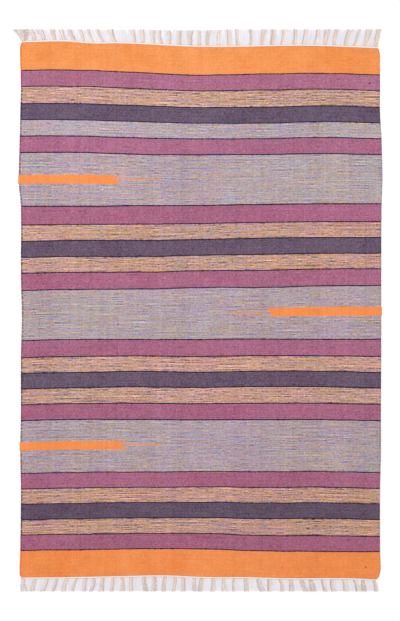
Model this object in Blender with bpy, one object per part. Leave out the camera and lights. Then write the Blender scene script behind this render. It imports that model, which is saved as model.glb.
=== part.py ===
"""A flat-woven kilim rug: one striped cloth with a tasselled fringe along each short end.

The rug lies flat, its underside on z = 0, its width along X and its length along Y, with the origin at
the middle of its underside. The stripes are woven into the cloth, so they are not pieces of their own.
Each fringe is one comb: a narrow heading that follows the wavy end of the cloth, and the tassels that
come out of it. All sizes are in metres.
"""

import math
import random
from collections import namedtuple

import bpy
from mathutils import Vector

# Driving dimensions.
HALF_WIDTH = 0.600  # from the middle to a selvedge
HALF_LENGTH = 0.935  # from the middle to the trimmed ends of a fringe
CLOTH_THICKNESS = 0.003
FRINGE_THICKNESS = 0.004
EDGE_ROUNDING = 0.001  # of every upper and lower edge
PIECE_GAP = 0.0003  # between the cloth and a fringe
HEADING_WIDTH = 0.006  # the white edge between the last weft and the tassels
TASSEL_WIDTH = 0.012  # at the heading
TASSEL_BOW = 0.0035  # how far a tassel's middle may stand off its straight line
TASSEL_STEPS = 3  # straight runs along each side of a tassel
ROOT_WOBBLE = 0.003  # how far a tassel may sit from its place
TIP_WOBBLE = 0.005  # how far its trimmed end may sit from its place
END_POINTS = 48  # stations along an end of the cloth
SIDE_POINTS = 40  # stations along a selvedge
ARC_POINTS = 6  # steps round a corner of the cloth

# Finishes, as linear colour and roughness. The cloth has the mean colour of its bands.
COTTON_COLOUR = (0.47, 0.24, 0.22)
COTTON_ROUGHNESS = 0.92
YARN_COLOUR = (0.76, 0.68, 0.61)
YARN_ROUGHNESS = 0.95

# An end of the cloth, at places across the width: the fringe's free length there, how far the tassels
# sit off even spacing, how far their trimmed ends lean sideways, and how much wider those ends are.
EndStation = namedtuple("EndStation", "at fringe drift lean spread")
FAR_STATIONS = (
    EndStation(-0.600, 0.0435, 0.000, -0.027, 2.2),
    EndStation(-0.450, 0.0410, 0.001, -0.010, 1.2),
    EndStation(-0.360, 0.0475, -0.003, -0.020, 1.2),
    EndStation(-0.250, 0.0475, 0.000, -0.011, 1.1),
    EndStation(-0.030, 0.0580, -0.015, 0.000, 1.1),
    EndStation(0.100, 0.0590, -0.019, 0.000, 1.1),
    EndStation(0.350, 0.0553, 0.000, 0.011, 1.2),
    EndStation(0.600, 0.0635, 0.000, 0.018, 1.4),
)
NEAR_STATIONS = (
    EndStation(-0.600, 0.0455, 0.002, -0.006, 1.8),
    EndStation(-0.450, 0.0468, 0.011, -0.016, 1.2),
    EndStation(-0.250, 0.0508, -0.014, -0.001, 1.1),
    EndStation(-0.120, 0.0530, -0.010, -0.003, 1.1),
    EndStation(0.020, 0.0473, -0.021, 0.001, 1.1),
    EndStation(0.160, 0.0468, -0.013, 0.004, 1.2),
    EndStation(0.270, 0.0436, -0.004, 0.009, 1.3),
    EndStation(0.500, 0.0433, 0.002, 0.010, 1.3),
    EndStation(0.600, 0.0380, 0.000, 0.008, 1.5),
)

# A corner of the cloth is a quarter ellipse, this far across the width and along the length.
Corner = namedtuple("Corner", "across along")

# An end: which way it faces along Y, its stations, its corners, the middles of its first and last
# tassel, how many places there are for a tassel, which of them are empty, and the seed of the wobble.
End = namedtuple("End", "name facing stations left right first last places empty seed")
ENDS = (
    End("far", 1, FAR_STATIONS, Corner(0.009, 0.022), Corner(0.009, 0.028), -0.587, 0.578, 36, (10,), 5),
    End("near", -1, NEAR_STATIONS, Corner(0.010, 0.014), Corner(0.018, 0.040), -0.591, 0.577, 35, (), 8),
)

# The selvedges, at places along the length: how far each stands outside the nominal width.
SideStation = namedtuple("SideStation", "at left right")
SIDE_STATIONS = (
    SideStation(-0.850, 0.002, -0.001),
    SideStation(-0.800, 0.000, -0.003),
    SideStation(-0.600, -0.002, -0.003),
    SideStation(-0.470, 0.000, 0.000),
    SideStation(-0.340, -0.002, 0.000),
    SideStation(-0.160, -0.002, 0.001),
    SideStation(-0.020, -0.005, 0.001),
    SideStation(0.120, -0.002, 0.001),
    SideStation(0.340, -0.002, 0.002),
    SideStation(0.430, 0.005, 0.005),
    SideStation(0.570, 0.002, 0.002),
    SideStation(0.660, 0.000, -0.003),
    SideStation(0.750, -0.002, -0.003),
    SideStation(0.850, 0.001, -0.003),
)

Tassel = namedtuple("Tassel", "root tip bow spread")


def read_station(stations, at, column):
    """One column of a station table at a place, on a smooth curve through its rows."""
    last = len(stations) - 1
    k = 0
    while k < last - 1 and at > stations[k + 1].at:
        k += 1
    rows = [stations[min(max(k + step, 0), last)] for step in (-1, 0, 1, 2)]
    before, low, high, after = [getattr(row, column) for row in rows]
    span = rows[2].at - rows[1].at
    slope_low = (high - before) / (rows[2].at - rows[0].at)
    slope_high = (after - low) / (rows[3].at - rows[1].at)
    t = min(max((at - rows[1].at) / span, 0.0), 1.0)
    rise = (2 * t**3 - 3 * t**2 + 1) * low + (3 * t**2 - 2 * t**3) * high
    bend = (t**3 - 2 * t**2 + t) * slope_low + (t**3 - t**2) * slope_high
    return rise + span * bend


def edge_y(end, x):
    """Where the last weft of an end lies, corners aside."""
    return end.facing * (HALF_LENGTH - read_station(end.stations, x, "fringe"))


def side_x(hand, y):
    """Where a selvedge lies. hand is -1 at the left and 1 at the right."""
    column = "left" if hand < 0 else "right"
    return hand * (HALF_WIDTH + read_station(SIDE_STATIONS, y, column))


def corner_arc(end, hand):
    """A corner's points, from the selvedge up to its top on the end of the cloth."""
    corner = end.left if hand < 0 else end.right
    side = side_x(hand, edge_y(end, hand * HALF_WIDTH) - end.facing * corner.along)
    points = []
    for step in range(ARC_POINTS + 1):
        angle = math.pi / 2 * step / ARC_POINTS
        x = side - hand * corner.across * (1 - math.cos(angle))
        y = edge_y(end, x) - end.facing * corner.along * (1 - math.sin(angle))
        points.append(Vector((x, y)))
    return points


def straight_line(end):
    """The end of the cloth from the top of its left corner to the top of its right one."""
    low, high = [corner_arc(end, hand)[-1].x for hand in (-1, 1)]
    stations = [low + (high - low) * step / END_POINTS for step in range(END_POINTS + 1)]
    return [Vector((x, edge_y(end, x))) for x in stations]


def pushed_out(line, end, distance):
    """A copy of an end's line, moved away from the cloth along its own normals."""
    moved = []
    for k, point in enumerate(line):
        along = line[min(k + 1, len(line) - 1)] - line[max(k - 1, 0)]
        normal = Vector((-along.y, along.x)).normalized() * end.facing
        moved.append(point + normal * distance)
    return moved


def read_line(line, x):
    """The height of a left-to-right line at x."""
    k = 0
    while k < len(line) - 2 and x > line[k + 1].x:
        k += 1
    share = (x - line[k].x) / (line[k + 1].x - line[k].x)
    return line[k].lerp(line[k + 1], share).y


def tassels(end):
    """The tassels of an end, from left to right."""
    rng = random.Random(end.seed)
    row = []
    for place in range(end.places):
        even = end.first + (end.last - end.first) * place / (end.places - 1)
        root = even + read_station(end.stations, even, "drift") + rng.uniform(-1, 1) * ROOT_WOBBLE
        tip = root + read_station(end.stations, root, "lean") + rng.uniform(-1, 1) * TIP_WOBBLE
        bow = rng.uniform(-1, 1) * TASSEL_BOW
        if place not in end.empty:
            row.append(Tassel(root, tip, bow, read_station(end.stations, root, "spread")))
    return row


def tassel_outline(tassel, end, heading):
    """A tassel's points: out along its left side and back along its right side."""
    sides = []
    for hand in (-1, 1):
        half = hand * TASSEL_WIDTH / 2
        root = Vector((tassel.root + half, read_line(heading, tassel.root + half)))
        tip = Vector((tassel.tip + half * tassel.spread, end.facing * HALF_LENGTH))
        points = []
        for step in range(TASSEL_STEPS + 1):
            share = step / TASSEL_STEPS
            bow = tassel.bow * math.sin(math.pi * share)
            points.append(root.lerp(tip, share) + Vector((bow, 0.0)))
        sides.append(points)
    return sides[0] + sides[1][::-1]


def fringe_outline(end):
    """A fringe's outline: along the cloth to the right, and back along the heading and its tassels."""
    line = straight_line(end)
    inner = pushed_out(line, end, PIECE_GAP)
    heading = pushed_out(line, end, PIECE_GAP + HEADING_WIDTH)
    row = tassels(end)
    outer = []
    for tassel, following in zip(row, row[1:] + [None]):
        outer += tassel_outline(tassel, end, heading)
        if following:
            x = (tassel.root + following.root) / 2
            outer.append(Vector((x, read_line(heading, x))))
    return inner + outer[::-1]


def cloth_outline():
    """The cloth's outline: the far end to the right, the right selvedge, the near end and the left one."""
    far, near = [
        corner_arc(end, -1)[:-1] + straight_line(end) + corner_arc(end, 1)[-2::-1] for end in ENDS
    ]
    sides = {}
    for hand, top, bottom in ((-1, far[0].y, near[0].y), (1, far[-1].y, near[-1].y)):
        heights = [top + (bottom - top) * step / SIDE_POINTS for step in range(1, SIDE_POINTS)]
        sides[hand] = [Vector((side_x(hand, y), y)) for y in heights]
    return far + sides[1] + near[::-1] + sides[-1][::-1]


def make_material(name, colour, roughness):
    material = bpy.data.materials.new(name)
    material.use_nodes = True
    shader = material.node_tree.nodes["Principled BSDF"]
    shader.inputs["Base Color"].default_value = (*colour, 1.0)
    shader.inputs["Roughness"].default_value = roughness
    shader.inputs["Metallic"].default_value = 0.0
    return material


def make_sheet(name, outline, thickness, material, collection):
    """A flat sheet of an outline, resting on z = 0, with its upper and lower edges rounded."""
    curve = bpy.data.curves.new(name, "CURVE")
    curve.dimensions = "2D"
    curve.fill_mode = "BOTH"
    curve.extrude = thickness / 2 - EDGE_ROUNDING
    curve.bevel_depth = EDGE_ROUNDING
    curve.bevel_resolution = 0
    curve.offset = -EDGE_ROUNDING
    spline = curve.splines.new("POLY")
    spline.points.add(len(outline) - 1)
    for point, place in zip(spline.points, outline):
        point.co = (place.x, place.y, 0.0, 1.0)
    spline.use_cyclic_u = True
    curve.materials.append(material)
    sheet = bpy.data.objects.new(name, curve)
    sheet.location.z = thickness / 2
    collection.objects.link(sheet)
    return sheet


def main():
    for old in list(bpy.data.objects):
        bpy.data.objects.remove(old)
    rug = bpy.data.collections.new("kilim_rug")
    bpy.context.scene.collection.children.link(rug)
    cotton = make_material("striped_cotton", COTTON_COLOUR, COTTON_ROUGHNESS)
    yarn = make_material("natural_yarn", YARN_COLOUR, YARN_ROUGHNESS)
    make_sheet("cloth", cloth_outline(), CLOTH_THICKNESS, cotton, rug)
    for end in ENDS:
        make_sheet(f"fringe_{end.name}", fringe_outline(end), FRINGE_THICKNESS, yarn, rug)


main()
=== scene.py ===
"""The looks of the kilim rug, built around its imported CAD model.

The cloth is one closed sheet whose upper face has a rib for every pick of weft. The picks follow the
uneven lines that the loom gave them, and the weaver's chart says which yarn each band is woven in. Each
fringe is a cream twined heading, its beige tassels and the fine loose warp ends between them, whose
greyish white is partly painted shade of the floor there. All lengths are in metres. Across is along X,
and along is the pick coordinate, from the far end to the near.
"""

import math
import random
from collections import namedtuple
from itertools import accumulate

import bpy
import numpy as np
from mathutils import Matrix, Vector


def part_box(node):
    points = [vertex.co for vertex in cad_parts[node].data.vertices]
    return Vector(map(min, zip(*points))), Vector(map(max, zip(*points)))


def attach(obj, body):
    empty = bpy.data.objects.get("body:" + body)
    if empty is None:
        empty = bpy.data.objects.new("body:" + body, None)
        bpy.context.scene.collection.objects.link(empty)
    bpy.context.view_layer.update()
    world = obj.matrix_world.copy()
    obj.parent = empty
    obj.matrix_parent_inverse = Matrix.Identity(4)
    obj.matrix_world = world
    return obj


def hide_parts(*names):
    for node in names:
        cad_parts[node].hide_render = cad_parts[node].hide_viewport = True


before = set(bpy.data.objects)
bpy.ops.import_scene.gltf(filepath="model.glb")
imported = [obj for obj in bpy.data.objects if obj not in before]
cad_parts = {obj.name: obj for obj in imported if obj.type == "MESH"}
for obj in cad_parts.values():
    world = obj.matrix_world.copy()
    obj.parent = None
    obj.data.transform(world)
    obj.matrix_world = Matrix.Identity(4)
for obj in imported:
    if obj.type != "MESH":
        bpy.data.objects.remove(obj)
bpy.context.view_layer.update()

# ----------------
# The frame, as the CAD model has it.

HALF_WIDTH = 0.6  # from the middle to a selvedge
HALF_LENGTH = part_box("fringe_far")[1].y  # from the middle to the trimmed ends of a fringe
CLOTH_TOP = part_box("cloth")[1].z
HEADING_WIDTH = 0.006
TASSEL_WIDTH = 0.012
TASSEL_BOW = 0.0035
ROOT_WOBBLE = 0.003
TIP_WOBBLE = 0.005


def table(kind, rows):
    return [kind(*row) for row in rows]


# An end of the cloth, at places across the width: the fringe's free length there, how far the tassels
# sit off even spacing, how far their ends lean sideways, how much wider than their roots and how much
# shorter than the fringe those ends are.
EndStation = namedtuple("EndStation", "at fringe drift lean spread short", defaults=[0.0])
FAR_STATIONS = table(EndStation, (
    (-0.6, 0.0435, 0.0, -0.027, 2.2),
    (-0.45, 0.041, 0.001, -0.01, 1.2),
    (-0.36, 0.0475, -0.003, -0.02, 1.2),
    (-0.25, 0.0475, 0.0, -0.011, 1.1),
    (-0.03, 0.058, -0.015, 0.0, 1.1, 0.006),
    (0.1, 0.059, -0.019, 0.0, 1.1, 0.001),
    (0.35, 0.0553, 0.0, 0.011, 1.2),
    (0.6, 0.0635, 0.0, 0.018, 1.4),
))
NEAR_STATIONS = table(EndStation, (
    (-0.6, 0.0455, 0.002, -0.006, 1.8),
    (-0.45, 0.0468, 0.011, -0.016, 1.2),
    (-0.25, 0.0508, -0.014, -0.001, 1.1),
    (-0.12, 0.053, -0.01, -0.003, 1.1),
    (0.02, 0.0473, -0.021, 0.001, 1.1),
    (0.16, 0.0468, -0.013, 0.004, 1.2),
    (0.27, 0.0436, -0.004, 0.009, 1.3),
    (0.5, 0.0433, 0.002, 0.01, 1.3),
    (0.6, 0.038, 0.0, 0.008, 1.5),
))
Corner = namedtuple("Corner", "across along")
# The last field of an End is painted light, which lightens the near end's yarns against the shade that
# falls there.
End = namedtuple("End", "name facing stations left right first last places empty seed pale")
FAR = End(
    "far", 1, FAR_STATIONS, Corner(0.009, 0.022), Corner(0.009, 0.028), -0.587, 0.578, 36, (10,), 5, 0.0
)
NEAR = End(
    "near", -1, NEAR_STATIONS, Corner(0.01, 0.014), Corner(0.018, 0.04), -0.591, 0.577, 35, (), 8, 0.38
)
SideStation = namedtuple("SideStation", "at left right")
SIDE_STATIONS = table(SideStation, (
    (-0.85, 0.002, -0.001),
    (-0.8, 0.0, -0.003),
    (-0.6, -0.002, -0.003),
    (-0.47, 0.0, 0.0),
    (-0.34, -0.002, 0.0),
    (-0.16, -0.002, 0.001),
    (-0.02, -0.005, 0.001),
    (0.12, -0.002, 0.001),
    (0.34, -0.002, 0.002),
    (0.43, 0.005, 0.005),
    (0.57, 0.002, 0.002),
    (0.66, 0.0, -0.003),
    (0.75, -0.002, -0.003),
    (0.85, 0.001, -0.003),
))

# ----------------
# The weaver's chart, from the far end to the near one. One dark pick lies between any two bands. lot is
# how the dye lot of a band differs from its yarn's own dye.

PICK = 0.0035  # the height of one pick of weft
WARP = 0.005  # the distance between two warps
Band = namedtuple("Band", "yarn picks lot", defaults=[(1.0, 1.0, 1.0)])
CHART = table(Band, (
    ("orange", 26, (0.98, 1.03, 1.02)),
    ("violet", 14, (1.03, 1.06, 1.06)),
    ("peach", 15, (1.01, 1.02, 1.02)),
    ("plum", 14, (0.98, 0.99, 1.02)),
    ("lilac", 14, (1.02, 1.05, 1.05)),
    ("pink", 14, (1.01, 1.05, 1.05)),
    ("lilac", 48, (1.0, 1.02, 1.01)),
    ("pink", 16, (0.985, 0.96, 0.99)),
    ("peach", 14),
    ("plum", 14, (1.03, 1.04, 1.05)),
    ("peach", 14),
    ("pink", 15, (0.99, 0.98, 0.99)),
    ("lilac", 48, (0.99, 0.98, 0.975)),
    ("pink", 15, (1.0, 1.03, 1.03)),
    ("peach", 14, (1.03, 1.02, 1.02)),
    ("plum", 13, (1.03, 1.04, 1.03)),
    ("peach", 14),
    ("pink", 14, (0.985, 0.95, 0.97)),
    ("lilac", 49, (0.98, 0.98, 0.99)),
    ("pink", 14),
    ("peach", 14, (0.99, 0.96, 0.95)),
    ("plum", 14, (0.905, 0.89, 0.9)),
    ("peach", 15, (0.965, 0.945, 0.955)),
    ("violet", 13, (0.97, 0.92, 0.935)),
    ("orange", 25, (1.03, 0.985, 0.955)),
))

# Where the dark picks lie, at seven places across the width: outline 1 is the one between the first
# two bands. height is how far its mean line is from the middle of the rug, and its rises off that line
# are in millimetres.
ACROSS = (-0.6, -0.4, -0.2, 0.0, 0.2, 0.4, 0.6)
PickLine = namedtuple("PickLine", "outline height rises")
PICK_LINES = table(PickLine, (
    (1, 0.7895, (9, 9, 1, -8, -3.5, -2, -6.5)),
    (4, 0.627, (7.5, 6, 0.5, -4.5, -5, 0.5, -4)),
    (6, 0.5205, (4, 4.5, -2, -3, -2.5, 0.5, -3)),
    (7, 0.3495, (-4, -4, -1.5, -1, 2, 4, 4.5)),
    (9, 0.236, (-7.5, -4, -4, -0.5, 3.5, 5.5, 6.5)),
    (12, 0.074, (-8.5, -5, -3.5, 1.5, 1.5, 6.5, 8.5)),
    (13, -0.0975, (-4, 0, 0, 0.5, 1.5, 0.5, 1)),
    (15, -0.206, (-5, -1.5, 3, -0.5, 3, 3, -1.5)),
    (16, -0.2575, (-5, -0.5, 2.5, 0.5, 3, 2.5, -1.5)),
    (18, -0.365, (-2.5, 1.5, 1.5, 0.5, 1, 1, -2.5)),
    (19, -0.539, (-4.5, -1, 0.5, 2.5, 1.5, 2.5, -1.5)),
    (22, -0.6935, (-4, -0.5, 3, 3.5, -0.5, 1.5, -4)),
    (23, -0.7475, (-0.5, 2, 4.5, 5, -2.5, -2, -6.5)),
    (24, -0.7985, (-0.5, 1.5, 4.5, 4.5, -2.5, -3.5, -5.5)),
))

# An orange tongue laid into a lilac field: the band it lies in, its first pick there and how many it
# has, which of them has the notch, the selvedge that it starts from, how far from the middle of the rug
# its two prongs and the notch between them end, and how far the pick in the notch goes on.
Tongue = namedtuple("Tongue", "band first picks notched hand prongs notch tail")
TONGUES = (
    Tongue(6, 20, 8, 3, -1, -0.267, -0.286, -0.13),
    Tongue(12, 19, 8, 5, 1, 0.224, 0.239, 0.101),
    Tongue(18, 20, 8, 3, -1, -0.249, -0.264, -0.127),
)

# A nub of another yarn caught in the weft: its band and pick there, how far right of the middle of the
# rug it lies, and its half length.
Slub = namedtuple("Slub", "band pick across length dye")
SLUBS = table(Slub, (
    (1, 8, 0.565, 0.0035, (86, 34, 60)),
    (6, 33, -0.325, 0.002, (232, 226, 226)),
    (6, 39, -0.45, 0.002, (96, 70, 104)),
    (12, 15, -0.212, 0.002, (112, 84, 80)),
    (12, 17, -0.168, 0.0026, (160, 108, 112)),
    (24, 14, 0.551, 0.003, (186, 70, 44)),
    (24, 15, 0.272, 0.0022, (204, 98, 62)),
    (11, 5, -0.122, 0.003, (188, 150, 164)),
    (2, 6, 0.492, 0.0026, (116, 66, 78)),
    (0, 0.6, -0.372, 0.003, (214, 86, 24)),
    (24, 24.4, -0.449, 0.003, (206, 92, 40)),
))

# ----------------
# The cloth's relief.

RIB_DEPTH = 0.0005  # of the groove between two picks
RIB_SHARES = (0.0, 0.25, 0.75)  # where a rib has its rows: its groove and its two shoulders
RIM_HEIGHT = 0.002  # of the outermost ring of the upper face
UNDERSIDE = 0.0002
UNDERSIDE_INSET = 0.001  # of the underside's own rim
SELVEDGE_COLUMNS = (0.0, 0.001, 0.0028, 0.0055, 0.011)  # distances from the selvedge
SELVEDGE_HEIGHTS = (-0.0014, -0.0003, 0.0001, -0.0002, 0.0)  # of those columns, off the face
INNER_COLUMNS = 40
UNDERSIDE_ROWS = 12  # rows of the upper face to one of the underside
UNDERSIDE_COLUMNS = 4
PICK_WANDER = 0.0003  # how far a pick may lie off its place
LINE_WANDER = 0.0007  # how far the picks wander together
HEIGHT_WANDER = 0.00006
RIPPLE_SHARE = 0.5  # of the common wandering, in short ripples
SETTLING = 3  # picks from an end of the cloth over which the wandering sets in
SAG = 0.00025  # how far the face lies below its top on average, give or take as much
CREST = 0.0001  # the highest that a rib stands off the face
TURN_WANDER = 0.0003  # of the weft where it turns round the selvedge
TURN_REACH = 0.0028  # how far in from the selvedge that shows
TONGUE_TURN = 0.0022  # how far the turns of a tongue stand out there
Wave = namedtuple("Wave", "seed across along")
LINE_WAVE = Wave(3, 0.045, 0.3)
RIPPLE_WAVE = Wave(4, 0.018, 0.05)
SAG_WAVE = Wave(6, 0.1, 0.12)
RIB_SEED = 31
PICK_SEED = 57
MAP_FACE = 0.8  # the share of the baking map's width that the upper face and its rims have
MAP_MARGIN = 0.004


def smooth(places, values, at):
    """A smooth curve through the values at the places, read at any number of places."""
    places, values, at = np.asarray(places), np.asarray(values), np.asarray(at)
    last = len(places) - 1
    low = np.clip(np.searchsorted(places, at, side="right") - 1, 0, last - 1)
    before, after = np.maximum(np.arange(last + 1) - 1, 0), np.minimum(np.arange(last + 1) + 1, last)
    slopes = (values[after] - values[before]) / (places[after] - places[before])
    span = places[low + 1] - places[low]
    t = np.clip((at - places[low]) / span, 0.0, 1.0)
    rise = (2 * t**3 - 3 * t**2 + 1) * values[low] + (3 * t**2 - 2 * t**3) * values[low + 1]
    bend = (t**3 - 2 * t**2 + t) * slopes[low] + (t**3 - t**2) * slopes[low + 1]
    return rise + span * bend


def read_station(stations, at, column):
    """One column of a station table, on a smooth curve through its rows."""
    places = [row.at for row in stations]
    return smooth(places, [getattr(row, column) for row in stations], at)


def edge_y(end, x):
    """Where the last weft of an end lies, corners aside."""
    return end.facing * (HALF_LENGTH - read_station(end.stations, x, "fringe"))


def side_x(hand, y):
    """Where a selvedge lies. hand is -1 at the left and 1 at the right."""
    return hand * (HALF_WIDTH + read_station(SIDE_STATIONS, y, "left" if hand < 0 else "right"))


# The pick that each band starts with. One dark pick lies before every band but the first.
STARTS = [0, *accumulate(band.picks + 1 for band in CHART[:-1])]
PICKS = STARTS[-1] + CHART[-1].picks
OUTLINES = [start - 0.5 for start in STARTS[1:]]  # the middles of the dark picks
ROUNDING = 0.01  # more than a pick coordinate loses by rounding


def pick_height(pick, x):
    """The Y of the pick coordinate at x, for arrays that match."""
    places = np.array([0.0, *[OUTLINES[line.outline - 1] for line in PICK_LINES], PICKS])
    lines = [line.height + smooth(ACROSS, np.array(line.rises) / 1000, x) for line in PICK_LINES]
    heights = np.stack([edge_y(FAR, x), *lines, edge_y(NEAR, x)])
    k = np.clip(np.searchsorted(places, pick, side="right") - 1, 0, len(places) - 2)
    share = (pick - places[k]) / (places[k + 1] - places[k])
    low = np.take_along_axis(heights, k[None], 0)[0]
    high = np.take_along_axis(heights, k[None] + 1, 0)[0]
    return low + share * (high - low)


def corner_inset(hand, y):
    """How far the rounded corners draw a selvedge in at y."""
    inset = np.zeros_like(y)
    for end in (FAR, NEAR):
        corner = end.left if hand < 0 else end.right
        depth = end.facing * (edge_y(end, hand * HALF_WIDTH) - y)
        share = np.clip(1.0 - depth / corner.along, 0.0, 1.0)
        inset += corner.across * (1.0 - np.sqrt(1.0 - share**2))
    return inset


def wandering(wave, terms=7):
    """A soft random field over the cloth, about from -1 to 1: a sum of waves of about that length."""
    rng = np.random.default_rng(wave.seed)
    sines = []
    for _ in range(terms):
        sines.append((rng.normal() / wave.across, rng.normal() / wave.along, rng.uniform(0, 2 * math.pi)))
    return lambda x, y: sum(np.sin(x * a + y * b + c) for a, b, c in sines) / math.sqrt(terms / 2) / 2


def cloth_rows():
    """The pick coordinate of each row of the upper face, and its height off the face."""
    rng = np.random.default_rng(RIB_SEED)
    lifts = rng.uniform(-1, 1, PICKS) * HEIGHT_WANDER
    picks = np.add.outer(np.arange(PICKS), RIB_SHARES)
    heights = lifts[:, None] - RIB_DEPTH * (np.array(RIB_SHARES) == 0.0)
    picks, heights = np.append(picks, PICKS), np.append(heights, 0.0)
    heights[[0, -1]] = RIM_HEIGHT - CLOTH_TOP
    return picks, heights


def column_shares():
    """Where the columns lie, as shares of the width, and their heights off the face."""
    edge = [distance / (2 * HALF_WIDTH) for distance in SELVEDGE_COLUMNS]
    inner = list(np.linspace(edge[-1], 1 - edge[-1], INNER_COLUMNS + 1)[1:-1])
    shares = edge + inner + [1 - share for share in reversed(edge)]
    heights = list(SELVEDGE_HEIGHTS) + [0.0] * len(inner) + list(reversed(SELVEDGE_HEIGHTS))
    return np.array(shares), np.array(heights)


def cloth_grid():
    """The upper face: its points by row and column, and the same points' weave coordinates."""
    picks, row_heights = cloth_rows()
    shares, column_heights = column_shares()
    rng = np.random.default_rng(PICK_SEED)
    off = rng.uniform(-1, 1, PICKS + 1) * PICK_WANDER
    off[[0, -1]] = 0.0
    off = np.interp(picks, np.arange(PICKS + 1), off)
    groove = (picks == np.round(picks)).astype(float)
    sides = {}
    for hand in (-1, 1):
        y = pick_height(picks, np.full_like(picks, hand * HALF_WIDTH))
        turns = rng.uniform(-1, 1, PICKS + 1) * TURN_WANDER
        turns = np.interp(picks, np.arange(PICKS + 1), turns) - groove * 2 * TURN_WANDER
        for tongue in TONGUES:
            past = picks - (STARTS[tongue.band] + tongue.first)
            turns[(past > 0) & (past < tongue.picks) & (tongue.hand == hand)] += TONGUE_TURN
        sides[hand] = side_x(hand, y) - hand * corner_inset(hand, y), hand * turns
    from_left = 2 * HALF_WIDTH * shares
    from_edges = (from_left, 2 * HALF_WIDTH - from_left)
    near_edge = [np.clip(1.0 - distance / TURN_REACH, 0.0, 1.0) for distance in from_edges]
    x = sides[-1][0][:, None] * (1 - shares) + sides[1][0][:, None] * shares
    y = pick_height(np.repeat(picks[:, None], len(shares), 1), x)
    x = x + sides[-1][1][:, None] * near_edge[0] + sides[1][1][:, None] * near_edge[1]
    inside = np.minimum(1.0, np.minimum(picks, PICKS - picks) / SETTLING)[:, None]
    lines, ripple = wandering(LINE_WAVE), wandering(RIPPLE_WAVE)
    y = y + inside * (off[:, None] + LINE_WANDER * (lines(x, y) + RIPPLE_SHARE * ripple(x, y)))
    face = CLOTH_TOP - HEIGHT_WANDER + SAG * (wandering(SAG_WAVE)(x, y) - 1.0)
    rim = np.minimum(row_heights[:, None] + column_heights, CREST)
    z = np.maximum(face + rim, RIM_HEIGHT)
    weave = np.stack(np.broadcast_arrays(2 * HALF_WIDTH * shares, PICK * picks[:, None]), -1)
    return np.stack([x, y, z], -1), weave


def underside_rows(picks):
    """The rows of the upper face that the underside has too: every so many, and two at each outline."""
    rows = set(range(0, len(picks), UNDERSIDE_ROWS)) | {len(picks) - 1}
    for start in STARTS[1:]:
        first = int(np.searchsorted(picks, start))
        rows |= {first - 2, first}
    return sorted(rows)


def sewn_rim(upper, lower, step):
    """Faces between a fine line and a coarse one. step gives the fine points at each coarse one."""
    faces = []
    for k in range(len(lower) - 1):
        fine = upper[step[k] : step[k + 1] + 1]
        faces.append([lower[k]] + fine + [lower[k + 1]])
    return faces


def band_of(pick):
    """The band that a pick coordinate is in. A dark pick counts with the band before it."""
    return int(np.searchsorted(STARTS, pick + ROUNDING, side="right")) - 1


def grid_faces(points):
    """The faces between the points of a grid, given by their numbers in it, row by row."""
    corners = (points[:-1, :-1], points[1:, :-1], points[1:, 1:], points[:-1, 1:])
    return np.stack(corners, -1).reshape(-1, 4)


Patch = namedtuple("Patch", "kind faces bands")


def cloth_patches(upper, lower, kept_rows, kept_columns, picks):
    """The faces of the cloth and the bands that they are in: the face, the underside and the rims."""
    bands = np.repeat([band_of(pick) for pick in picks[:-1]], upper.shape[1] - 1).tolist()
    patches = [Patch("face", grid_faces(upper).tolist(), bands)]
    row_bands = [band_of(picks[row]) for row in kept_rows[:-1]]
    bands = np.repeat(row_bands, len(kept_columns) - 1).tolist()
    patches.append(Patch("underside", grid_faces(lower)[:, (0, 3, 2, 1)].tolist(), bands))
    for column, turn in ((0, -1), (-1, 1)):
        rim = sewn_rim(upper[:, column].tolist(), lower[:, column].tolist(), kept_rows)
        patches.append(Patch("side", [face[::turn] for face in rim], row_bands))
    for row, turn in ((0, 1), (-1, -1)):
        rim = sewn_rim(upper[row].tolist(), lower[row].tolist(), kept_columns)
        band = 0 if row == 0 else len(CHART) - 1
        patches.append(Patch("end", [face[::turn] for face in rim], [band] * len(rim)))
    return patches


def laid_out(share, kinds, low):
    """A map that fills its square: the face, the rims around it, and beside them the underside, which
    is squeezed across its plain stripes. share is how far across and along the cloth a corner is."""
    face = MAP_MARGIN + share * (np.array([MAP_FACE, 1.0]) - 2 * MAP_MARGIN)
    under = np.array([MAP_FACE, 0.0]) + MAP_MARGIN
    under = under + share * (np.array([1.0 - MAP_FACE, 1.0]) - 2 * MAP_MARGIN)
    place = np.where((kinds == "underside")[:, None], under, face)
    outside = np.round(share) * (MAP_FACE, 1.0)
    for axis, kind in enumerate(("side", "end")):
        turned = low & (kinds == kind)
        place[turned, axis] = outside[turned, axis]
    return place


def set_map(mesh, name, corners):
    mesh.uv_layers.new(name=name).uv.foreach_set("vector", np.array(corners, np.float32).ravel())


def set_attribute(mesh, name, values, kind="FLOAT", key="value"):
    layer = mesh.attributes.new(name, kind, "POINT")
    layer.data.foreach_set(key, np.array(values, np.float32).ravel())


def new_object(name, data):
    made = bpy.data.objects.new(name, data)
    bpy.context.scene.collection.objects.link(made)
    return made


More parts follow.
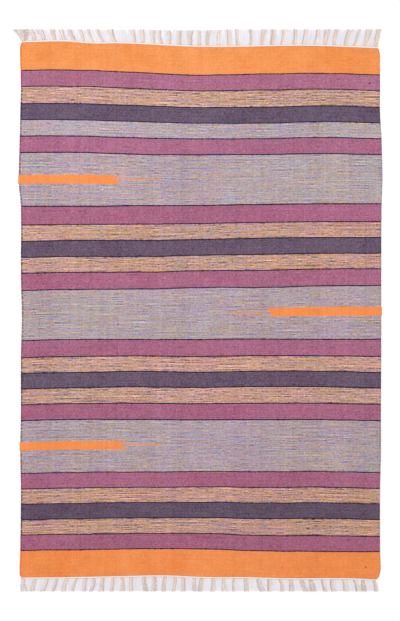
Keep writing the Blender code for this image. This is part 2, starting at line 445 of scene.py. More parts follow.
def make_cloth(materials):
    """The whole cloth: the upper face, the underside and the rim between them."""
    top, weave = cloth_grid()
    rows, columns = top.shape[:2]
    picks = weave[:, 0, 1] / PICK
    upper = np.arange(rows * columns).reshape(rows, columns)
    kept_rows = underside_rows(picks)
    kept_columns = sorted(set(range(0, columns, UNDERSIDE_COLUMNS)) | {columns - 1})
    kept = np.ix_(kept_rows, kept_columns)
    below = top[kept]
    for edge, axis in ((below[0], 1), (below[-1], 1), (below[:, 0], 0), (below[:, -1], 0)):
        edge[..., axis] -= np.sign(edge[..., axis]) * UNDERSIDE_INSET
    below[..., 2] = UNDERSIDE
    lower = rows * columns + np.arange(len(kept_rows) * len(kept_columns)).reshape(below.shape[:2])
    points = np.concatenate([top.reshape(-1, 3), below.reshape(-1, 3)])
    woven = np.concatenate([weave.reshape(-1, 2), weave[kept].reshape(-1, 2)])
    patches = cloth_patches(upper, lower, kept_rows, kept_columns, picks)

    mesh = bpy.data.meshes.new("kilim_cloth")
    mesh.from_pydata(points.tolist(), [], [face for patch in patches for face in patch.faces])
    for yarn in materials:
        mesh.materials.append(materials[yarn])
    order = list(materials)
    slots = [order.index(CHART[band].yarn) for patch in patches for band in patch.bands]
    mesh.polygons.foreach_set("material_index", np.array(slots, np.int32))
    mesh.shade_smooth()
    corners = np.array([corner for patch in patches for face in patch.faces for corner in face])
    kinds = np.array([patch.kind for patch in patches for face in patch.faces for corner in face])
    set_map(mesh, "weave", woven[corners])
    share = woven[corners] / (2 * HALF_WIDTH, PICK * PICKS)
    set_map(mesh, "OFBake", laid_out(share, kinds, corners >= rows * columns))
    set_attribute(mesh, "from_outline", np.abs(woven[:, 1:2] - np.array(OUTLINES) * PICK).min(1))
    lots = [CHART[band_of(pick)].lot for pick in woven[:, 1] / PICK]
    set_attribute(mesh, "lot", lots, "FLOAT_VECTOR", "vector")
    return new_object("kilim_cloth", mesh)


# ----------------
# Shaders.


def dye(red, green, blue):
    """A colour given as screen values from 0 to 255, as linear light with full opacity."""
    shares = [channel / 255 for channel in (red, green, blue)]
    return (*[s / 12.92 if s <= 0.04045 else ((s + 0.055) / 1.055) ** 2.4 for s in shares], 1.0)


def operator(name):
    """An operator on values that adds a Math node."""
    return lambda value, other: value.shader.math(name, value, other)


class Value:
    """A number or colour that a shader works out at each point."""

    def __init__(self, shader, socket):
        self.shader = shader
        self.socket = socket

    __add__ = __radd__ = operator("ADD")
    __sub__ = operator("SUBTRACT")
    __mul__ = __rmul__ = operator("MULTIPLY")
    __truediv__ = operator("DIVIDE")
    __gt__ = operator("GREATER_THAN")
    __lt__ = operator("LESS_THAN")

    def __rsub__(self, other):
        return self.shader.math("SUBTRACT", other, self)


class Shader:
    """A material with a Principled surface, and short ways to add the nodes that feed it."""

    def __init__(self, name):
        self.material = bpy.data.materials.new(name)
        self.material.use_nodes = True
        self.tree = self.material.node_tree
        self.surface = self.tree.nodes["Principled BSDF"]

    def feed(self, node, inputs):
        for name, value in inputs.items():
            if isinstance(value, Value):
                self.tree.links.new(value.socket, node.inputs[name])
            else:
                node.inputs[name].default_value = value

    def add(self, kind, inputs, output=0, **settings):
        node = self.tree.nodes.new(kind)
        for name, value in settings.items():
            setattr(node, name, value)
        self.feed(node, inputs)
        return Value(self, node.outputs[output])

    def math(self, operation, *values, clamp=False):
        return self.add("ShaderNodeMath", dict(enumerate(values)), operation=operation, use_clamp=clamp)

    def soft_step(self, value, low, high):
        """0 below low, 1 above high and a soft rise between."""
        inputs = {"Value": value, "From Min": low, "From Max": high}
        return self.add("ShaderNodeMapRange", inputs, interpolation_type="SMOOTHSTEP")

    def noise(self, x, y, detail=0.0, roughness=0.5):
        """Soft noise about 0, one unit long along both coordinates."""
        place = self.add("ShaderNodeCombineXYZ", {0: x, 1: y})
        inputs = {"Vector": place, "Scale": 1.0, "Detail": detail, "Roughness": roughness}
        return self.add("ShaderNodeTexNoise", inputs, noise_dimensions="2D") - 0.5

    def ramp(self, factor, stops):
        """A colour ramp through (position, colour) stops."""
        ramp = self.add("ShaderNodeValToRGB", {0: factor})
        elements = ramp.socket.node.color_ramp.elements
        while len(elements) < len(stops):
            elements.new(1.0)
        for element, (position, colour) in zip(elements, stops):
            element.position = position
            element.color = colour
        return ramp

    def mix(self, factor, first, second):
        inputs = {0: factor, 6: first, 7: second}
        return self.add("ShaderNodeMix", inputs, output=2, data_type="RGBA")

    def vector_math(self, operation, *values):
        return self.add("ShaderNodeVectorMath", dict(enumerate(values)), operation=operation)

    def scaled(self, colour, factor):
        """A colour made lighter or darker by a factor."""
        return self.add("ShaderNodeVectorMath", {0: colour, 3: factor}, operation="SCALE")

    def attribute(self, name, output="Fac"):
        return self.add("ShaderNodeAttribute", {}, output=output, attribute_name=name)

    def map_place(self, name):
        """The two coordinates of a UV map."""
        place = self.add("ShaderNodeUVMap", {}, uv_map=name)
        first = self.add("ShaderNodeSeparateXYZ", {0: place})
        return first, Value(self, first.socket.node.outputs[1])

    def finish(self, colour, roughness, specular, sheen=0.0, bump=None):
        """The surface, as a material. bump is a height, how strongly it shows and how deep it is."""
        if bump:
            height, strength, depth = bump
            inputs = {"Strength": strength, "Distance": depth, "Height": height}
            self.feed(self.surface, {"Normal": self.add("ShaderNodeBump", inputs)})
        self.feed(self.surface, {"Base Color": colour, "Roughness": roughness})
        self.feed(self.surface, {"Specular IOR Level": specular, "Sheen Weight": sheen})
        return self.material


# ----------------
# The cloth's yarns. A yarn's colour sways about its dye in a few ways of its own. change is what a usual
# sway adds to the dye, and then come the shares of it that run in streaks along one pick, in specks along
# it, and in mottles over many picks. dark is how much darker its darkest streaks are. selvedge is a
# darker colour painted on its turns as the shade of the rounded selvedge, strong by weight, and turns is
# the share of them that show it. warps is how well the lines that the warps leave show on it.

Sway = namedtuple("Sway", "change streak speck mottle")
Yarn = namedtuple("Yarn", "dye sways dark seed selvedge weight turns warps", defaults=[1.0])
MELANGE_SHARES = (1.36, 0.32, 0.04)
SOLID_SHARES = (0.22, 0.9, 0.1)
TINT_SHARES = (0.25, 0.9, 0.05)


def solid(first, *others):
    """The sways of a yarn of one plain colour."""
    return (Sway(first, *SOLID_SHARES), *[Sway(change, *TINT_SHARES) for change in others])


# Each yarn's selvedge colour is painted shade, a darker tone for its turns round the rounded selvedge.
YARNS = {
    "orange": Yarn(
        (235, 142, 80),
        (Sway((1.9, 4.2, 5.8), 0.25, 0.7, 0.36), Sway((1.9, 0.5, -0.9), 0.3, 0.6, 0.12)),
        0.0, 1, (224, 102, 40), 0.6, 1.0, 0.6,
    ),
    "violet": Yarn(
        (163, 101, 127),
        solid((6.5, 6.5, 6.5), (3.1, -2.2, -1.1), (-0.4, -1.6, 1.9)),
        0.0, 2, (140, 52, 104), 0.65, 0.9,
    ),
    "pink": Yarn(
        (164, 100, 127),
        solid((6.5, 7.0, 7.0), (3.1, -2.4, -0.6), (-0.6, -1.4, 2.0)),
        0.0, 3, (120, 56, 88), 0.65, 0.8,
    ),
    "plum": Yarn(
        (100, 82, 101),
        solid((7.0, 7.0, 7.0), (1.0, 0.6, -1.8), (-1.1, 1.3, -0.2)),
        0.0, 4, (46, 36, 62), 0.75, 0.8,
    ),
    "peach": Yarn(
        (188, 148, 134),
        (
            Sway((16.0, 12.0, 10.5), *MELANGE_SHARES),
            Sway((6.2, 2.6, -12.2), *MELANGE_SHARES),
            Sway((-3.1, 4.7, -0.6), 0.8, 0.5, 0.05),
        ),
        0.1, 5, (74, 50, 46), 0.8, 0.7,
    ),
    "lilac": Yarn(
        (173, 155, 161),
        (
            Sway((6.1, 7.3, 11.7), 0.95, 0.5, 0.06),
            Sway((9.1, 5.2, -7.7), *MELANGE_SHARES),
            Sway((3.3, -4.4, 1.1), 0.8, 0.5, 0.08),
        ),
        0.05, 6, (90, 72, 70), 0.7, 0.75,
    ),
}
STREAK = 0.21  # the lengths of streaks, specks and mottles
SPECK = 0.006
MOTTLE = 0.45
PAIRED = 0.9  # the share of a streak that goes opposite ways in the two picks of a pair
YARN_APART = 50.0  # how far apart in the noise the yarns, their sways and their picks are read
SWAY_APART = 13.7
PICK_APART = 7.31
SPECK_APART = 5.17
PAIR_APART = 6.1
DARK_SWAY = (-0.8, -2.6)  # the sways where a streak starts to darken and where it is darkest
BLACKEST = (0.01, 0.01, 0.01)
NOISE_SPREAD = 0.16  # the standard deviation of plain noise
OCTAVES = 5  # in a streak or a mottle

INTERLOCK = 0.0004  # how far the edge of a pick swings as it passes over and under the warps
FIBRE = (0.0016, 0.0004)  # the size of the fibres that show in a yarn
GROOVE_SHADE_SHARPNESS = 4.0
WARP_STREAK = 0.5  # the width of the widest stripes that the warps leave down the whole cloth
WARP_DETAIL = 6.0
WARP_DRIFT = 0.006  # how far they lie off straight
DRIFT_LENGTH = 0.5  # over which they drift
DRIFT_LANE, STRIPE_LANE, WARP_LANE = 3.7, 0.5, 7.5  # where in the noise they are read
GROOVE_PAINTED_SHADE = 0.12  # painted shade in the grooves between picks, and how much the rest changes the shade
# painted light on the ribs where they bulge over a warp
BULGE_PAINTED_LIGHT = 0.03
FIBRE_SHADE = 0.3
STRIPE_SHADE = 0.34
WARP_SHADE = 0.1
RIB_BUMP = (0.6, 0.0008)  # how strongly the yarns' own roundness shows, and how deep it is
BUMP_OVER = 0.4  # the share of it that comes and goes with the warps
BUMP_FIBRE = 0.5  # how much the fibres add to it

SELVEDGE_SHADE_REACH = 0.0058  # how far in from the edge the turns' painted shade shows
SELVEDGE_WANDER = 0.003
SELVEDGE_SOFT = 0.0007
TURN_PICKS = 1.6  # the length of a turn
TURN_RISE = (0.25, 0.35)  # the noise where a turn starts to show and is full, in a yarn with no turns
RIGHT_APART = 9.0
RIGHT_LESS_PAINTED_SHADE = 0.75  # how much less the turns' painted shade shows at the right, where more light falls

TONGUE_DYE = (253, 138, 62)
TONGUE_OWN = 0.35  # the share of it in the tongues. The rest is the orange yarn.
TONGUE_RAGGED = 0.004  # how far the picks of a tongue end off their slope
RAGGED_APART = (3.3, 9.0)
TAIL_GAP = 0.012  # the length of the gaps in a tongue's last pick
TAIL_APART = 2.2
TAIL_RISE = (-0.32, -0.14)  # the noise where a gap ends
TAIL_SHOWS = 0.9

OUTLINE_DYE = (40, 30, 60)
OUTLINE_HALF = 0.0019  # half the height of a dark pick
OUTLINE_SOFT = 0.0004
OUTLINE_WANDER = 0.002
OUTLINE_UNEVEN = (0.009, 0.02)  # the size of its unevenness
OUTLINE_BLOB = 0.0006  # how much higher its lumps are, each way
BLOB = (0.012, 0.05)
BLOB_RISE = (0.16, 0.34)  # the noise where a lump starts and where it is full
FLECK = 0.006  # the length of the lighter and darker flecks of a dark pick
FLECK_SHADE = 1.4
FLECK_APART = 3.1
SLUB_RISE = (0.5, 1.1)  # where a nub starts to fade and where it ends, in its half sizes


def yarn_colour(shader, yarn, across, along, row):
    """The colour of a yarn along its pick, which is another stretch of yarn in each row."""
    colour = dye(*yarn.dye)[:3]
    shade = 1.0
    fractal = {"detail": OCTAVES - 1, "roughness": 1.0}
    way = shader.math("COSINE", row * math.pi)
    pair = shader.math("FLOOR", row / 2.0)
    for k, sway in enumerate(yarn.sways):
        start = yarn.seed * YARN_APART + k * SWAY_APART
        own = shader.noise(across / STREAK, row * PICK_APART + start, **fractal)
        shared = shader.noise(across / STREAK, pair * PICK_APART + start + PAIR_APART, **fractal)
        streak = own * math.sqrt(1.0 - PAIRED) + shared * way * math.sqrt(PAIRED)
        speck = shader.noise(across / SPECK, row * SPECK_APART + start)
        mottle = shader.noise(across / MOTTLE, along / MOTTLE + start, **fractal)
        level = (
            streak * (math.sqrt(sway.streak * OCTAVES) / NOISE_SPREAD)
            + speck * (math.sqrt(sway.speck) / NOISE_SPREAD)
            + mottle * (math.sqrt(sway.mottle * OCTAVES) / NOISE_SPREAD)
        )
        more, less = (dye(*[d + sign * c for d, c in zip(yarn.dye, sway.change)]) for sign in (1, -1))
        change = [(high - low) / 2 for high, low in zip(more[:3], less[:3])]
        colour = shader.vector_math("MULTIPLY_ADD", change, level, colour)
        if k == 0:
            shade = shade - shader.soft_step(level, *DARK_SWAY) * yarn.dark
    colour = shader.vector_math("MAXIMUM", colour, BLACKEST)
    colour = shader.vector_math("MULTIPLY", colour, shader.attribute("lot", "Vector"))
    return shader.scaled(colour, shade)


def weave_coordinates(shader):
    """How far across the cloth a point is, its pick, where in the pick, and how far it bulges."""
    across, along = shader.map_place("weave")
    warp = shader.math("COSINE", across * (math.pi / WARP))
    beat = shader.math("COSINE", along * (math.pi / PICK))
    pick = (along + warp * beat * INTERLOCK) / PICK
    row = shader.math("FLOOR", pick)
    over = warp * shader.math("COSINE", row * math.pi)
    return across, along, row, pick - row, over


def weave_material(name):
    """The finish of a band: its yarn, the dark picks beside it, painted shade at its selvedges, and the
    weave itself, with painted shade in its grooves and painted light on its bulges.
    """
    shader = Shader(f"{name}_weave")
    yarn = YARNS[name]
    across, along, row, within, over = weave_coordinates(shader)
    colour = yarn_colour(shader, yarn, across, along, row)
    laid = None
    if name == "lilac":
        colour, laid = with_tongues(shader, colour, across, along, row)
    groove = shader.math("POWER", shader.math("ABSOLUTE", within * 2.0 - 1.0), GROOVE_SHADE_SHARPNESS)
    wide, high = FIBRE
    fibres = shader.noise(across / wide, along / high, detail=2.0)
    drifted = across + shader.noise(along / DRIFT_LENGTH, DRIFT_LANE) * WARP_DRIFT
    stripes = shader.noise(drifted / WARP_STREAK, STRIPE_LANE, detail=WARP_DETAIL, roughness=1.0)
    warp = shader.noise(drifted / WARP, WARP_LANE)
    # painted shade in the grooves and painted light on the bulges; fibres, stripes and warp lines are the
    # yarn's own tone
    shade = 1.0 - groove * GROOVE_PAINTED_SHADE + over * BULGE_PAINTED_LIGHT + fibres * FIBRE_SHADE
    shade = shade + (stripes * STRIPE_SHADE + warp * WARP_SHADE) * yarn.warps
    colour = shader.scaled(colour, shade)
    colour = with_outlines(shader, colour, across, along, row)
    colour = with_slubs(shader, colour, name, across, along)
    colour = with_selvedge_shade(shader, colour, yarn, across, along, laid)
    height = shader.math("SINE", within * math.pi) * (over * BUMP_OVER + (1.0 - BUMP_OVER))
    bump = (height + fibres * BUMP_FIBRE, *RIB_BUMP)
    return shader.finish(colour, roughness=0.92, specular=0.15, sheen=0.05, bump=bump)


def with_outlines(shader, colour, across, along, row):
    """The colour of a band with the dark picks beside it, which are uneven and lumpy."""
    gap = shader.attribute("from_outline")
    wide, high = OUTLINE_UNEVEN
    uneven = shader.noise(across / wide, along / high, detail=2.0, roughness=0.8)
    wide, high = BLOB
    blobs = shader.soft_step(shader.noise(across / wide, along / high), *BLOB_RISE)
    beyond = gap - uneven * OUTLINE_WANDER - blobs * OUTLINE_BLOB
    outline = 1.0 - shader.soft_step(beyond, OUTLINE_HALF - OUTLINE_SOFT, OUTLINE_HALF + OUTLINE_SOFT)
    fleck = shader.noise(across / FLECK, row * FLECK_APART)
    dark = shader.scaled(dye(*OUTLINE_DYE)[:3], 1.0 + fleck * FLECK_SHADE)
    return shader.mix(outline, colour, dark)


def with_selvedge_shade(shader, colour, yarn, across, along, laid):
    """A band's colour with its turns' painted shade at both selvedges, apart from where a tongue is laid
    in.
    """
    edge = HALF_WIDTH - shader.math("ABSOLUTE", across - HALF_WIDTH)
    right = across > HALF_WIDTH
    turned = shader.noise(along / (TURN_PICKS * PICK), right * RIGHT_APART + yarn.seed)
    shown = shader.soft_step(turned, *[level - 0.5 * yarn.turns for level in TURN_RISE])
    shown = shown * (1.0 - right * RIGHT_LESS_PAINTED_SHADE)
    if laid:
        shown = shown * (1.0 - laid)
    wide = SELVEDGE_SHADE_REACH + turned * SELVEDGE_WANDER
    selvedge = 1.0 - shader.soft_step(edge - wide, -SELVEDGE_SOFT, SELVEDGE_SOFT)
    # the turns get the yarn's selvedge colour as painted shade
    return shader.mix(selvedge * shown * yarn.weight, colour, dye(*yarn.selvedge))


def with_slubs(shader, colour, name, across, along):
    """The colour of a band with its few odd nubs of another yarn."""
    for slub in SLUBS:
        if CHART[slub.band].yarn != name:
            continue
        middle = (STARTS[slub.band] + slub.pick) * PICK
        aside = (across - HALF_WIDTH - slub.across) / slub.length
        beyond = (along - middle) / PICK
        far = shader.math("SQRT", aside * aside + beyond * beyond)
        colour = shader.mix(1.0 - shader.soft_step(far, *SLUB_RISE), colour, dye(*slub.dye))
    return colour


def with_tongues(shader, colour, across, along, row):
    """The colour of a lilac field with its orange tongues laid in, and where they are."""
    orange = yarn_colour(shader, YARNS["orange"], across, along, row)
    orange = shader.mix(TONGUE_OWN, orange, dye(*TONGUE_DYE))
    laid = 0.0
    for tongue in TONGUES:
        first = STARTS[tongue.band] + tongue.first
        inside = (row > first - 0.5) * (row < first + tongue.picks - 0.5)
        off_notch = shader.math("ABSOLUTE", row - (first + tongue.notched))
        from_prongs = shader.math("DIVIDE", off_notch, tongue.picks / 2 - 1.0, clamp=True)
        deep = (1.0 - from_prongs) * (tongue.prongs - tongue.notch)
        ragged = shader.noise(row * RAGGED_APART[0], tongue.band * RAGGED_APART[1]) * TONGUE_RAGGED
        body = inside * ((HALF_WIDTH + tongue.prongs - deep + ragged - across) * -tongue.hand > 0.0)
        tail = (off_notch < 0.5) * ((HALF_WIDTH + tongue.tail - across) * -tongue.hand > 0.0)
        gaps = shader.noise(across / TAIL_GAP, row * TAIL_APART, detail=1.0)
        colour = shader.mix(tail * shader.soft_step(gaps, *TAIL_RISE) * TAIL_SHOWS, colour, orange)
        colour = shader.mix(body, colour, orange)
        laid = body + laid
    return colour, laid


# ----------------
# The fringes.

Strand = namedtuple("Strand", "points radius shade")
Tassel = namedtuple("Tassel", "place root tip bow spread")

HEADING_MIDDLE = 0.5 * HEADING_WIDTH  # where the strands start
TASSEL_YARNS = 12
TASSEL_YARN_RADIUS = 0.00105
TASSEL_SLACK = (1.0, 1.42)  # how much narrower or wider than its place a tassel may be
TASSEL_SIDES, LOOSE_SIDES, CORD_SIDES = 6, 5, 6  # of their yarns
CREASE_ANGLE = math.radians(70)  # from there on, an edge of a strand isn't smoothed
FORKED = 0.35  # the share of tassels whose tips part
FORK = (0.0016, 0.004)  # how far they part, each way
PARTING = 0.3  # how far off its middle a tassel may part, in its half widths
HOOKED = 0.3  # the share of tassels whose roots bend aside
HOOK = 0.0045  # how far they bend
FRAYED = 0.25  # the share of tassels whose yarns curl
Curl = namedtuple("Curl", "reach radians steps")
STRAIGHT = Curl(0.0012, 5.0, 12)
CURLY = Curl(0.0024, 14.0, 14)
MATTED = Curl(0.0036, 22.0, 22)
CRIMP = 0.75  # the share of the curl that is quick, and that is slow
SLOW_CRIMP = 0.45
SLOWNESS = 0.37
LANE_WANDER = 0.12  # how far off its lane a yarn may lie, in half widths of a tassel
GATHERED = 0.95  # the width of a root in its place
TRIM = (-0.0016, 0.0008)  # how much longer or shorter than the rest a yarn may be
TASSEL_LEVEL = 0.001  # the height of the lowest yarns
TASSEL_HEAP = 0.0019  # how much higher the highest lie in the middle of a tassel
HEAP_FALL = 0.7  # the share of that which is lost at its sides
TASSEL_WAVES = (0.0003, 7.0)  # how far each yarn rises and falls, and over how many radians
LIT_YARN = (0.3, 1.0)  # the shades of a tassel's yarns, where 1 is the palest
SHADED_YARN = (0.0, 0.3)
SHADED_LANES = 0.55  # the yarns from there to the side nearest the rug's middle get a darker painted shade
SHADED_MATTED = 0.3  # the share of a matted tassel's other yarns that gets that painted shade too
TASSEL_PAINTED_LIGHT = 0.25  # how much of an end's painted light its tassels get
LOOSE_PITCH = 0.001
LOOSE_CLEAR = 0.4  # the share of a tassel's width that has none
LOOSE_WANDER = 0.4  # in pitches
LOOSE_SPLAY = 0.0015
LOOSE_WAVES = (0.0006, 6.0)  # how far each sways, and over how many radians
LOOSE_LEVELS = (0.0005, 0.0012)
LOOSE_SHADES = 0.6
LOOSE_UNEVEN = 0.0014  # how much shorter than the trimmed edge they may be
LOOSE_RADIUS = 0.00072
FLATNESS = 0.38  # the height of a loose yarn to its width

# Two yarns twined along the last weft: how far beyond it they lie, how thick they are, the length of
# their turn, their height, and their shade with how much of an end's painted light it gets.
Twine = namedtuple("Twine", "offset radius turn level shade paler")
CORD = Twine(0.002, 0.00125, 0.011, 0.003, 0.45, 0.5)
KNOTS = Twine(0.0045, 0.0008, 0.006, 0.0017, 0.5, 1.4)
TWINE_STEP = 0.0015
TWINE_RISE = 0.6  # how high it rises to how far it swings

# Loose cotton yarn: its shades, the length of its twist, and how much a painted shadow darkens the start
# of each strand, where the tassels come out under the heading.
Cotton = namedtuple("Cotton", "name shades twist base")
BEIGE_SHADES = (
    (0.0, (188, 173, 168)), (0.3, (211, 194, 186)), (0.7, (226, 211, 203)), (1.0, (239, 230, 226))
)
BEIGE = Cotton("tassel_yarn", BEIGE_SHADES, 0.004, 0.3)
# The loose warps' greyish white is partly the yarn's own and partly painted shade of the floor between
# the tassels.
WHITE_AND_FLOOR_SHADE = Cotton("white_yarn_and_floor_shade", ((0.0, (224, 221, 226)), (1.0, (249, 242, 248))), 0.003, 0.06)
CREAM = Cotton("cream_yarn", ((0.0, (232, 223, 219)), (1.0, (252, 243, 239))), 0.003, 0.06)
FIBRE_ALONG = 0.004
FIBRES_AROUND = 6.0
STRAND_APART = 40.0
FIBRE_TINT = 0.6  # how much the fibres change its shade
PLIES = 2.0
# painted light and shade along the twist of the plies
PLY_PAINTED_SHADE = 0.04
PLY_BUMP = (0.5, 0.0003)
ROOT_SHADOW_FADE = (0.005, 0.0015)  # where along it the painted shadow at its start ends, and up to where it is darkest
ROOT_SHADOW_RAGGED = 0.004

# The odd bunches, by their places: the lanes that their tips reach at the left and at the right, in half
# widths of a tassel, how many yarns they have, and how those curl.
Fan = namedtuple("Fan", "left right yarns curl")
FANS = {
    "far": {
        0: Fan(-3.2, 7.4, 40, MATTED),
        1: Fan(-0.8, 1.8, 13, CURLY),
        30: Fan(-2.0, 2.2, 17, STRAIGHT),
        33: Fan(-0.8, 0.8, 9, STRAIGHT),
        34: Fan(-1.4, 2.8, 20, STRAIGHT),
        35: Fan(-2.2, 1.0, 16, CURLY),
    },
    "near": {
        0: Fan(-0.4, 2.4, 18, MATTED),
        12: Fan(0.0, 3.2, 16, MATTED),
        13: Fan(-2.4, 0.4, 16, MATTED),
        18: Fan(-2.4, 1.0, 15, CURLY),
        23: Fan(-1.0, 3.4, 15, CURLY),
        27: Fan(0.2, 4.0, 17, MATTED),
        28: Fan(-3.0, 1.6, 17, MATTED),
        32: Fan(-1.0, 2.4, 16, CURLY),
        33: Fan(-1.8, 1.6, 16, MATTED),
        34: Fan(-1.6, 1.0, 13, CURLY),
    },
}


def tassels(end):
    """The tassels of an end, from left to right, as the CAD comb has them."""
    rng = random.Random(end.seed)
    row = []
    for place in range(end.places):
        even = end.first + (end.last - end.first) * place / (end.places - 1)
        root = even + read_station(end.stations, even, "drift") + rng.uniform(-1, 1) * ROOT_WOBBLE
        tip = root + read_station(end.stations, root, "lean") + rng.uniform(-1, 1) * TIP_WOBBLE
        bow = rng.uniform(-1, 1) * TASSEL_BOW
        if place not in end.empty:
            row.append(Tassel(place, root, tip, bow, read_station(end.stations, root, "spread")))
    return row


def strand_mesh(name, strands, sides, material):
    """One joined mesh of flattened strands. Each has its own shade, and a coordinate along and around."""
    points, faces, along, shades = [], [], [], []
    for strand in strands:
        line = np.asarray(strand.points)
        run = np.concatenate([[0.0], np.cumsum(np.linalg.norm(np.diff(line, axis=0), axis=1))])
        tangent = np.gradient(line, axis=0)
        tangent /= np.linalg.norm(tangent, axis=1)[:, None]
        aside = np.cross(tangent, (0.0, 0.0, 1.0))
        aside /= np.linalg.norm(aside, axis=1)[:, None]
        upward = np.cross(aside, tangent) * FLATNESS
        first = len(points)
        for place, out, up in zip(line, aside, upward):
            for side in range(sides):
                angle = 2 * math.pi * side / sides
                reach = out * math.cos(angle) + up * math.sin(angle)
                points.append(place + reach * strand.radius)
        rings = first + np.arange(len(line) * sides).reshape(len(line), sides)
        faces += grid_faces(np.hstack([rings, rings[:, :1]])).tolist()
        for k in range(len(line) - 1):
            for side in range(sides):
                start, stop = side / sides, (side + 1) / sides
                along += [(run[k], start), (run[k + 1], start), (run[k + 1], stop), (run[k], stop)]
        faces.append(rings[0].tolist())
        faces.append(rings[-1][::-1].tolist())
        along += [(run[0], 0.0)] * sides + [(run[-1], 0.0)] * sides
        shades += [strand.shade] * (len(line) * sides)
    mesh = bpy.data.meshes.new(name)
    mesh.from_pydata([tuple(point) for point in points], [], faces)
    mesh.shade_smooth()
    mesh.set_sharp_from_angle(angle=CREASE_ANGLE)
    set_map(mesh, "strand", along)
    set_attribute(mesh, "shade", shades)
    mesh.materials.append(material)
    return new_object(name, mesh)


def tassel_strands(end, rng):
    """The yarns of every tassel of an end."""
    strands = []
    half = TASSEL_WIDTH / 2 - TASSEL_YARN_RADIUS
    for tassel in tassels(end):
        root_y = edge_y(end, tassel.root) + end.facing * HEADING_MIDDLE
        short = max(0.0, read_station(end.stations, tassel.root, "short"))
        length = abs(end.facing * HALF_LENGTH - root_y) - short
        slack = rng.uniform(*TASSEL_SLACK)
        spread = tassel.spread * slack
        curl = CURLY if rng.uniform() < FRAYED else STRAIGHT
        usual = Fan(-spread, spread, round(TASSEL_YARNS * slack), curl)
        fan = FANS[end.name].get(tassel.place, usual)
        steps = np.linspace(0.0, 1.0, fan.curl.steps + 1)
        fork = rng.uniform(*FORK) if rng.uniform() < FORKED else 0.0
        parting = rng.uniform(-PARTING, PARTING)
        hook = HOOK * rng.uniform(-1.0, 1.0) if rng.uniform() < HOOKED else 0.0
        inner = 1.0 if tassel.root < 0.0 else -1.0
        for k in range(fan.yarns):
            lane = (k + 0.5) / fan.yarns * 2 - 1 + rng.uniform(-LANE_WANDER, LANE_WANDER)
            level = rng.uniform(0.0, 1.0) * (1.0 - HEAP_FALL * min(1.0, lane * lane))
            reach = (length + rng.uniform(*TRIM)) / length
            wave, phase = rng.uniform(-1, 1) * fan.curl.reach, rng.uniform(0, 2 * math.pi)
            root_lane = lane * GATHERED * slack
            tip_lane = fan.left + (fan.right - fan.left) * (lane + 1) / 2
            x = tassel.root + (tassel.tip - tassel.root) * steps * reach
            x = x + tassel.bow * np.sin(math.pi * steps)
            x = x + half * (root_lane + (tip_lane - root_lane) * steps)
            x = x + fork * math.copysign(1.0, lane - parting) * steps**2
            crimp = np.sin(steps * fan.curl.radians + phase)
            sway = np.sin(steps * fan.curl.radians * SLOWNESS + phase * 2.0)
            x = x + wave * (CRIMP * crimp + SLOW_CRIMP * sway) + hook * (1.0 - steps) ** 3
            y = root_y + end.facing * length * reach * steps
            rise, waves = TASSEL_WAVES
            z = TASSEL_LEVEL + level * TASSEL_HEAP + rise * np.sin(steps * waves + phase)
            # the end's painted light lightens every yarn
            shade = end.pale * TASSEL_PAINTED_LIGHT + rng.uniform(*LIT_YARN)
            # yarns on a tassel's inner side, and some of a matted tassel's, get painted shade
            if lane * inner > SHADED_LANES or (fan.curl == MATTED and rng.uniform() < SHADED_MATTED):
                shade = end.pale * TASSEL_PAINTED_LIGHT + rng.uniform(*SHADED_YARN)
            strands.append(Strand(np.stack([x, y, z], -1), TASSEL_YARN_RADIUS, shade))
    return strands


def loose_strands(end, rng):
    """The fine warp ends between the tassels, whose greyish white is partly painted shade of the floor
    there.
    """
    strands = []
    steps = np.linspace(0.0, 1.0, 6)
    row = tassels(end)
    for left, right in zip(row, row[1:]):
        count = int((right.root - left.root - LOOSE_CLEAR * TASSEL_WIDTH) / LOOSE_PITCH)
        for k in range(count):
            share = (k + 0.5 + rng.uniform(-LOOSE_WANDER, LOOSE_WANDER)) / count
            root = left.root + (right.root - left.root) * share
            tip = left.tip + (right.tip - left.tip) * share + rng.uniform(-1, 1) * LOOSE_SPLAY
            bow = left.bow + (right.bow - left.bow) * share
            root_y = edge_y(end, root) + end.facing * HEADING_MIDDLE
            reach = end.facing * (HALF_LENGTH - rng.uniform(0.0, LOOSE_UNEVEN)) - root_y
            phase = rng.uniform(0, 2 * math.pi)
            swing, waves = LOOSE_WAVES
            x = root + (tip - root) * steps + bow * np.sin(math.pi * steps)
            x = x + swing * np.sin(steps * waves + phase)
            y = root_y + reach * steps
            z = np.full_like(steps, rng.uniform(*LOOSE_LEVELS))
            # the end's painted light lightens the loose warps
            shade = end.pale + rng.uniform(0.0, LOOSE_SHADES)
            strands.append(Strand(np.stack([x, y, z], -1), LOOSE_RADIUS, shade))
    return strands


def twined(end, twine):
    """Two yarns twined round each other along the last weft, from selvedge to selvedge."""
    strands = []
    x = np.arange(-HALF_WIDTH + end.left.across, HALF_WIDTH - end.right.across, TWINE_STEP)
    for ply in (0.0, math.pi):
        angle = 2 * math.pi * x / twine.turn + ply
        y = edge_y(end, x) + end.facing * (twine.offset + twine.radius * np.cos(angle))
        z = twine.level + twine.radius * TWINE_RISE * np.sin(angle)
        # the end's painted light lightens the twines as well
        shade = twine.shade + twine.paler * end.pale
        strands.append(Strand(np.stack([x, y, z], -1), twine.radius, shade))
    return strands


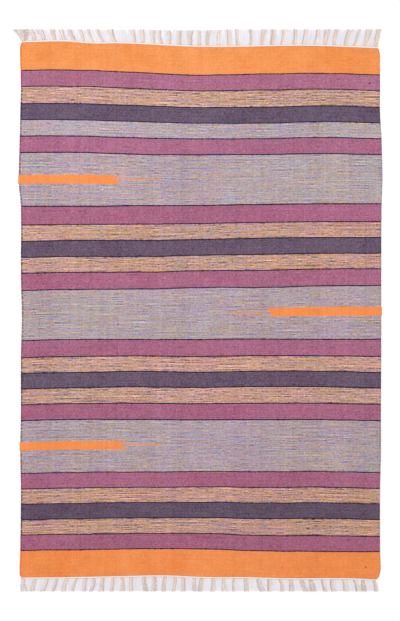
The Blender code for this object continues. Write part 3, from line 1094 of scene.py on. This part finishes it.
def yarn_material(cotton):
    """A shade for each strand, fibres along it, painted light and shade on the twist of its plies, and a
    painted shadow over its start, where a tassel comes out under the heading.
    """
    shader = Shader(cotton.name)
    along, around = shader.map_place("strand")
    shade = shader.attribute("shade")
    fibres = around * FIBRES_AROUND + shade * STRAND_APART
    fibres = shader.noise(along / FIBRE_ALONG, fibres, detail=2.0)
    colour = shader.ramp(shade + fibres * FIBRE_TINT, [(at, dye(*value)) for at, value in cotton.shades])
    # the twist of the plies, shown as painted light and shade as well as a bump
    twist = shader.math("SINE", (along / cotton.twist + around * PLIES) * (2 * math.pi))
    # a painted shadow darkens the first millimetres of each strand
    dark = shader.soft_step(along + fibres * ROOT_SHADOW_RAGGED, *ROOT_SHADOW_FADE) * cotton.base
    colour = shader.scaled(colour, 1.0 + twist * PLY_PAINTED_SHADE - dark)
    return shader.finish(colour, roughness=0.95, specular=0.15, sheen=0.08, bump=(twist, *PLY_BUMP))


# ----------------
# Floor, light and camera.

FLOOR_SIZE = 40.0
FLOOR_LEVEL = -0.0004
FLOOR_WHITE = (0.98, 0.98, 0.98, 1.0)
SKY_WHITE = (1.0, 1.0, 1.0, 1.0)
SKY_STRENGTH = 0.69
SOFTBOX_SIDE = 3.0
SOFTBOX_POWER = 96.0
SOFTBOX_PLACE = (-0.5, 1.3, 3.8)
SOFTBOX_AIM = Vector((0.0, 0.1, 0.0))
LENS = 100.0  # in millimetres, as is the sensor's width
SENSOR = 36.0
SEEN_LENGTH = 2.067  # of the floor, in the photograph's longer side
CAMERA_PLACE = (-0.002, -0.001, SEEN_LENGTH * LENS / SENSOR)


def make_floor():
    bpy.ops.mesh.primitive_plane_add(size=FLOOR_SIZE, location=(0.0, 0.0, FLOOR_LEVEL))
    floor = bpy.context.object
    floor.name = "floor"
    paper = Shader("floor_paper").finish(FLOOR_WHITE, roughness=0.9, specular=0.1)
    floor.data.materials.append(paper)


def make_light():
    scene = bpy.context.scene
    scene.view_settings.view_transform = "Standard"
    scene.world = bpy.data.worlds.new("studio")
    scene.world.use_nodes = True
    background = scene.world.node_tree.nodes["Background"]
    background.inputs["Color"].default_value = SKY_WHITE
    background.inputs["Strength"].default_value = SKY_STRENGTH
    lamp = bpy.data.lights.new("softbox", "AREA")
    lamp.size = SOFTBOX_SIDE
    lamp.energy = SOFTBOX_POWER
    softbox = new_object("softbox", lamp)
    softbox.location = SOFTBOX_PLACE
    softbox.rotation_euler = (SOFTBOX_AIM - softbox.location).to_track_quat("-Z", "Y").to_euler()


def make_camera():
    lens = bpy.data.cameras.new("camera")
    lens.lens = LENS
    lens.sensor_width = SENSOR
    camera = new_object("camera", lens)
    camera.location = CAMERA_PLACE
    bpy.context.scene.camera = camera


def finish_piece(piece):
    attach(piece, "root")


def main():
    cloth = make_cloth({name: weave_material(name) for name in YARNS})
    beige, white, cream = [yarn_material(cotton) for cotton in (BEIGE, WHITE_AND_FLOOR_SHADE, CREAM)]
    pieces = []
    for end in (FAR, NEAR):
        rng = np.random.default_rng(end.seed)
        beige_strands = tassel_strands(end, rng) + twined(end, KNOTS)
        tassel_piece = strand_mesh(f"tassels_{end.name}", beige_strands, TASSEL_SIDES, beige)
        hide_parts(f"fringe_{end.name}")
        pieces.append(tassel_piece)
        pieces.append(strand_mesh(f"loose_warps_{end.name}", loose_strands(end, rng), LOOSE_SIDES, white))
        pieces.append(strand_mesh(f"heading_{end.name}", twined(end, CORD), CORD_SIDES, cream))
    for piece in pieces:
        finish_piece(piece)
    finish_piece(cloth)
    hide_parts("cloth")
    make_floor()
    make_light()
    make_camera()


main()
